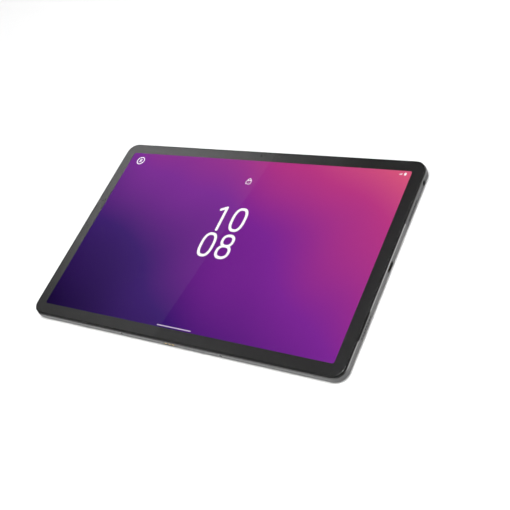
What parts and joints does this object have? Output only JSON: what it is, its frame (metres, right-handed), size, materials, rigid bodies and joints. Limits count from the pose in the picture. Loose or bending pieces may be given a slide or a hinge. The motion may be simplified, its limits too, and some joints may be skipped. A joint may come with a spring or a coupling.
{
  "type": "tablet computer",
  "caption": "Slim slate tablet computer with a large glass-covered touch screen, two-part grey rear shell, a raised rear camera plate, side speakers and ports.",
  "frame": {"origin": "under the middle of the body, on the plane that the rear lens ring touches when the tablet lies on its back", "axes": "+X to the right when facing the screen in landscape, +Y towards the long edge with the front camera, +Z out of the screen"},
  "size_m": [0.2692, 0.1698, 0.0086],
  "materials": {
    "housing_metal": "fine satin anodised grey, cut edges polished",
    "antenna_cover_paint": "dark grey metallic paint, satin",
    "badge_metal": "plain satin plate",
    "camera_plate_grey": "glossy grey, polished edge",
    "ring_metal": "polished ring with turned marks",
    "lens_glass_dark": "coated dark glass",
    "flash_diffuser": "clear ribbed diffuser",
    "flash_ring_metal": "satin ring",
    "cover_glass_clear": "clear polished glass",
    "border_ink": "black printed border",
    "display_lit": "lit screen showing soft violet and pink bands",
    "reflector_white": "white pressed tray",
    "light_guide_clear": "clear guide plate",
    "led_white": "white light strip",
    "frame_black": "fine moulded black",
    "adhesive_black": "foam tape",
    "plate_metal": "stamped plate",
    "screw_steel": "black zinc",
    "board_mask": "solder mask",
    "chip_black": "moulded package",
    "can_steel": "tinned sheet",
    "connector_brown": "moulded connector",
    "cell_foil": "wrapped foil pouch",
    "flex_amber": "polyimide film",
    "camera_black": "moulded black",
    "speaker_black": "moulded black",
    "mesh_steel": "dark woven mesh",
    "usb_steel": "drawn steel shell",
    "port_black": "moulded black",
    "key_metal": "satin anodised grey",
    "sensor_black": "glossy coated sensor",
    "switch_parts": "domes on a stiffened strip",
    "contact_gold": "gold plated",
    "magnet_nickel": "nickel plated",
    "antenna_plastic": "plated carrier"
  },
  "bodies": {
    "tablet_body": {"rear_housing": "housing_metal", "antenna_cover": "antenna_cover_paint", "badge_plate": "badge_metal", "camera_plate": "camera_plate_grey", "lens_ring": "ring_metal", "lens_glass": "lens_glass_dark", "flash_ring": "flash_ring_metal", "flash_lens": "flash_diffuser", "rear_camera": "camera_black", "flash_led": "led_white", "cover_glass": "cover_glass_clear", "border_print": "border_ink", "display_panel": "display_lit", "backlight_tray": "reflector_white", "led_strip": "led_white", "light_guide": "light_guide_clear", "display_frame": "frame_black", "frame_adhesive": "adhesive_black", "front_camera": "camera_black", "light_sensor": "chip_black", "support_plate": "plate_metal", "plate_screws": "screw_steel", "board_screws": "screw_steel", "main_board": "board_mask", "usb_board": "board_mask", "chips": "chip_black", "processor_shield_can": "can_steel", "radio_shield_can": "can_steel", "battery_cell_left": "cell_foil", "battery_cell_right": "cell_foil", "battery_tapes": "adhesive_black", "battery_board": "board_mask", "board_connectors": "connector_brown", "battery_flex": "flex_amber", "display_flex": "flex_amber", "usb_flex": "flex_amber", "camera_flex": "flex_amber", "front_camera_flex": "flex_amber", "key_flex": "flex_amber", "speaker_lower_left": "speaker_black", "speaker_upper_left": "speaker_black", "speaker_lower_right": "speaker_black", "speaker_upper_right": "speaker_black", "speaker_meshes": "mesh_steel", "usb_port_shell": "usb_steel", "usb_port_tongue": "port_black", "audio_jack": "port_black", "power_switch": "switch_parts", "volume_switches": "switch_parts", "card_socket": "can_steel", "contact_block": "port_black", "keyboard_contacts": "contact_gold", "locator_cups": "usb_steel", "holding_magnets": "magnet_nickel", "microphones": "can_steel", "antennas": "antenna_plastic"},
    "power_key": {"power_button": "key_metal", "fingerprint_sensor": "sensor_black"},
    "volume_key": {"volume_rocker": "key_metal"},
    "tray": {"card_tray": "key_metal"}
  },
  "joints": [
    {"name": "power_button_press", "type": "slide", "parent": "tablet_body", "child": "power_key", "axis": [0, -1, 0], "range_m": [0, 0.00025], "stiffness_N_per_m": 8000},
    {"name": "volume_rocker_turn", "type": "hinge", "parent": "tablet_body", "child": "volume_key", "pos_m": [-0.062, 0.08405, 0.00425], "axis": [0, 0, 1], "range_deg": [-1.2, 1.2], "stiffness_Nm_per_rad": 0.7},
    {"name": "card_tray_slide", "type": "slide", "parent": "tablet_body", "child": "tray", "axis": [0, 1, 0], "range_m": [0, 0.022]}
  ]
}
